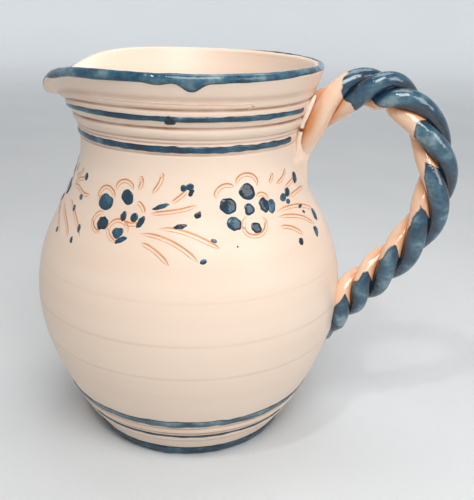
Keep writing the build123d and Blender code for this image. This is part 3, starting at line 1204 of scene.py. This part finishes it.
def body_material():
    """Cream glaze, brown where it runs thin in the turned lines."""
    look = Surface("cream_glaze")
    level = look.value("level")
    colour = cream_colour(look)
    stain_and_shade = None
    for line, depth, half_width in TURNED_LINES + BELLY_RINGS:
        off = look.math("ABSOLUTE", look.math("SUBTRACT", level, line))
        most = min(1, STAIN_STRENGTH * depth)
        near = look.range(off, STAIN_CORE, half_width * STAIN_SPREAD, most, 0)
        stain_and_shade = near if stain_and_shade is None else look.math("MAXIMUM", stain_and_shade, near)
    patchy = look.range(look.noise(45, 4), 0.3, 0.6, 0.45, 1)
    colour = look.mix(look.times(stain_and_shade, patchy), colour, STAIN_AND_SHADE)
    rough = look.range(look.noise(30, 3), 0.2, 0.8, *CREAM_ROUGH)
    return look.finish(colour, rough, cream_height(look), CREAM_BUMP)


def blue_colour(look, tone):
    """Blue glaze in streaks, from near black at tone 0 to pale at tone 1."""
    streaks = look.noise(75, 4, (1, 1, 1.6))
    fine = look.noise(420, 4)
    streaks = look.range(streaks, 0.3, 0.7, 0.06, 0.44)
    mixed = look.math("ADD", streaks, look.times(fine, 0.25))
    mixed = look.math("ADD", mixed, look.times(tone, 0.5))
    return look.ramp(mixed, BLUE_STOPS)


def blue_height(look):
    """Ripples in thick glaze."""
    broad = look.times(look.noise(130, 3), 0.7)
    fine = look.times(look.noise(420, 2), 0.3)
    return look.math("ADD", broad, fine)


def blue_material():
    """Thick blue glaze of the bands, lines and dots."""
    look = Surface("blue_glaze")
    colour = blue_colour(look, look.value("tone"))
    colour = look.mix(look.range(look.value("edge"), 0.3, 0.9), colour, NAVY)
    rough = look.range(look.noise(60, 3), 0.3, 0.7, *BLUE_ROUGH)
    return look.finish(colour, rough, blue_height(look), BLUE_BUMP)


def scratch_material():
    """Scratched clay: orange along the lips, cream between them, and brown on the upper lip as
    painted shade.
    """
    look = Surface("scratched_clay")
    patchy = look.range(look.noise(120, 4), 0.3, 0.6, 0.55, 1)
    stain_and_shade = look.times(look.value("stain_and_shade"), patchy)
    colour = look.mix(look.range(stain_and_shade, 0.03, 0.38), cream_colour(look), ORANGE)
    # Brown on the upper lip: painted shade of the groove
    colour = look.mix(look.range(stain_and_shade, 0.6, 1.1), colour, STAIN_AND_SHADE)
    rough = look.range(look.noise(60, 3), 0.3, 0.7, *SCRATCH_ROUGH)
    return look.finish(colour, rough, look.noise(300, 3), SCRATCH_BUMP)


def rope_clay(look, ridge):
    """Clay of the handle: orange in the grooves and brown deepest in them, peach on the flanks,
    cream on the ridges; the brown and the peach are partly painted shade.
    """
    # Peach flanks and brown in the deepest grooves are partly painted shade between the strands,
    # over orange clay
    clay = look.mix(look.range(ridge, 0.10, 0.75), PEACH, ROPE_CREAM)
    clay = look.mix(look.range(ridge, 1, 1.5), clay, PALE_CREAM)
    clay = look.mix(look.range(ridge, 0, 0.32, 0.9, 0), clay, ORANGE)
    clay = look.mix(look.range(ridge, 0, 0.14, 0.7, 0), clay, STAIN_AND_SHADE)
    # Dark brown at the pinhole: painted shade of the hole over bare clay
    clay = look.mix(look.range(ridge, -0.3, 0, 1, 0), clay, DARK_BROWN)
    patchy = look.range(look.noise(70, 4), 0.32, 0.62, 0.25, 1)
    warm = look.times(look.value("warm"), patchy)
    return look.mix(look.times(warm, 0.75), clay, ORANGE)


def rope_material():
    """Handle: cream over orange clay inside, thick blue glaze outside."""
    look = Surface("rope_glaze")
    look.shader.inputs["IOR"].default_value = ROPE_IOR
    ridge = look.value("ridge")
    clay = rope_clay(look, ridge)
    # Blue paler on the ridges, where the glaze runs thin and partly as a painted reflection, and
    # darker in the grooves as painted shade
    blue = blue_colour(look, look.range(ridge, 0.2, 1, 0, 0.8))
    ragged = look.range(look.noise(130, 5), 0.2, 0.8, -0.10, 0.10)
    cover = look.math("ADD", look.value("blue"), ragged)
    colour = look.mix(look.range(cover, -0.03, 0.03), clay, blue)
    edge = look.math("ABSOLUTE", look.math("SUBTRACT", cover, 0.06))
    colour = look.mix(look.range(edge, 0, 0.06, 0.7, 0), colour, NAVY)
    rough = look.range(look.noise(40, 3), 0.3, 0.7, *ROPE_ROUGH)
    return look.finish(colour, rough, blue_height(look), BLUE_BUMP)


# Paper of the backdrop, paler to the camera far from the lamps: metres and strength
PAPER_GREY = (0.66, 0.68, 0.70)
PAPER_PALE = (0.70, 0.72, 0.73)
PAPER_GLOW_COLOUR = (0.88, 0.94, 1.0, 1.0)
PAPER_GLOW_SPAN = (0.3, 2.4)
PAPER_GLOW = 0.5


def floor_material():
    """Pale matt paper."""
    look = Surface("pale_paper")
    colour = look.mix(look.range(look.noise(4, 4), 0.3, 0.7), PAPER_GREY, PAPER_PALE)
    rough = look.range(look.noise(9, 3), 0.3, 0.7, *PAPER_ROUGH)
    away = look.nodes.new("ShaderNodeVectorMath")
    away.operation = "LENGTH"
    look.link(look.place, away.inputs[0])
    ray = look.nodes.new("ShaderNodeLightPath").outputs
    seen = look.math("MAXIMUM", ray["Is Camera Ray"], ray["Is Glossy Ray"])
    seen = look.math("MAXIMUM", seen, ray["Is Transmission Ray"])
    glow = look.range(away.outputs["Value"], *PAPER_GLOW_SPAN, 0.0, PAPER_GLOW)
    look.shader.inputs["Emission Color"].default_value = PAPER_GLOW_COLOUR
    look.link(look.times(seen, glow), look.shader.inputs["Emission Strength"])
    return look.finish(colour, rough, look.noise(900, 2), PAPER_BUMP)


# Stage, light and camera

FLOOR_RADIUS = 1800
FLOOR_SHARES = (0.0005, 0.02, 0.05, 0.1, 0.25, 0.5, 0.75)
BEND = 1400
WALL_TOP = 3200
SWEEP_COLUMNS = 96
# Lamps: place, aim, size and watts
LAMPS = {
    "key_light": ((290, -700, 1020), (0, 0, 110), 620, 8.2),
    "side_light": ((820, -360, 560), (0, 0, 110), 460, 2.2),
    "top_light": ((100, 300, 1100), (0, 0, 100), 700, 3.6),
    "glint_light": ((-120, -560, 1000), (60, 0, 130), 60, 1.6),
}
WORLD_COLOUR = (1.0, 0.97, 0.94, 1.0)
WORLD_STRENGTH = 0.36


def sweep():
    """Round floor that curves up into a wall on every side."""
    turn = full_turn(SWEEP_COLUMNS)
    bend = np.radians(np.linspace(0, 90, 18))
    line = [(FLOOR_RADIUS * share, 0.0) for share in FLOOR_SHARES]
    line += [(FLOOR_RADIUS + BEND * np.sin(a), BEND * (1 - np.cos(a))) for a in bend]
    line += [(FLOOR_RADIUS + BEND, WALL_TOP)]
    points = np.stack([around(radius + 0 * turn, turn, height) for radius, height in line])
    faces = grid_faces(len(line), SWEEP_COLUMNS, ring=True) + cap_face(SWEEP_COLUMNS, 0, flip=True)
    floor = mesh_piece("paper_sweep", points, faces)
    floor.data.materials.append(floor_material())
    floor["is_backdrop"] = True


def looking(place_at, forward, roll=0.0):
    """Matrix of something at a place that looks along its own -Z."""
    forward = np.asarray(forward, float) / np.linalg.norm(forward)
    right = np.cross(forward, (0, 0, 1))
    right /= np.linalg.norm(right)
    up = np.cross(right, forward)
    swing = np.radians(roll)
    x = np.cos(swing) * right + np.sin(swing) * up
    y = np.cos(swing) * up - np.sin(swing) * right
    rows = [(*axes, shift * MM) for *axes, shift in zip(x, y, -forward, place_at)]
    return Matrix(rows + [(0, 0, 0, 1)])


def lamp(name, place_at, aim, size, power):
    """Square soft light, in millimetres and watts."""
    light = bpy.data.lights.new(name, "AREA")
    light.size = size * MM
    light.energy = power
    place_at = np.array(place_at, float)
    new_object(name, light).matrix_world = looking(place_at, np.array(aim, float) - place_at)


def camera():
    """Camera at the angle of the photograph."""
    turn = np.radians(CAMERA_TURN)
    aim = np.radians(CAMERA_TURN - CAMERA_YAW)
    down = np.radians(CAMERA_PITCH)
    place_at = (CAMERA_DISTANCE * np.sin(turn), -CAMERA_DISTANCE * np.cos(turn), CAMERA_HEIGHT)
    forward = (-np.cos(down) * np.sin(aim), np.cos(down) * np.cos(aim), -np.sin(down))
    data = bpy.data.cameras.new("camera")
    data.sensor_width = SENSOR
    data.lens = FOCAL_PIXELS / LONG_SIDE_PIXELS * SENSOR
    data.clip_start = 0.01
    holder = new_object("camera", data)
    holder.matrix_world = looking(place_at, forward, roll=CAMERA_ROLL)
    bpy.context.scene.camera = holder


def light_up():
    """Soft studio light from above the camera, with a weak fill."""
    for name, settings in LAMPS.items():
        lamp(name, *settings)
    world = bpy.data.worlds.new("studio")
    world.use_nodes = True
    background = world.node_tree.nodes["Background"]
    background.inputs["Color"].default_value = WORLD_COLOUR
    background.inputs["Strength"].default_value = WORLD_STRENGTH
    bpy.context.scene.world = world
    bpy.context.scene.view_settings.view_transform = "Standard"


# Put together

blue = blue_material()
rope = rope_material()
place(thrown_body(), body_material(), "cream_glaze", "thrown_body")
place(rim_band(), blue, "blue_glaze", "rim_glaze")
for name, (level, half_width, seed, settings, node) in STRIPES.items():
    place(stripe(name, level, half_width, seed, **settings), blue, "blue_glaze", node)
for strand in range(STRANDS):
    place(rope_strand(strand), rope, "blue_glaze", f"handle_strand_{strand + 1}")
place(smear("upper_joint", *UPPER_SMEAR), rope, "tinted_clay", "upper_luting")
place(clay_bead(), rope, "tinted_clay")
place(smear("lower_joint", *LOWER_SMEAR, lower_blue), rope, "blue_glaze", "lower_luting")
dots, lines = painting()
place(dots, blue, "blue_glaze")
place(lines, scratch_material(), "cream_glaze")
sweep()
light_up()
camera()

boxes = {"cad": CAD_BOX, "visual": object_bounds()}
{name: [list(corner) for corner in box] for name, box in boxes.items()}
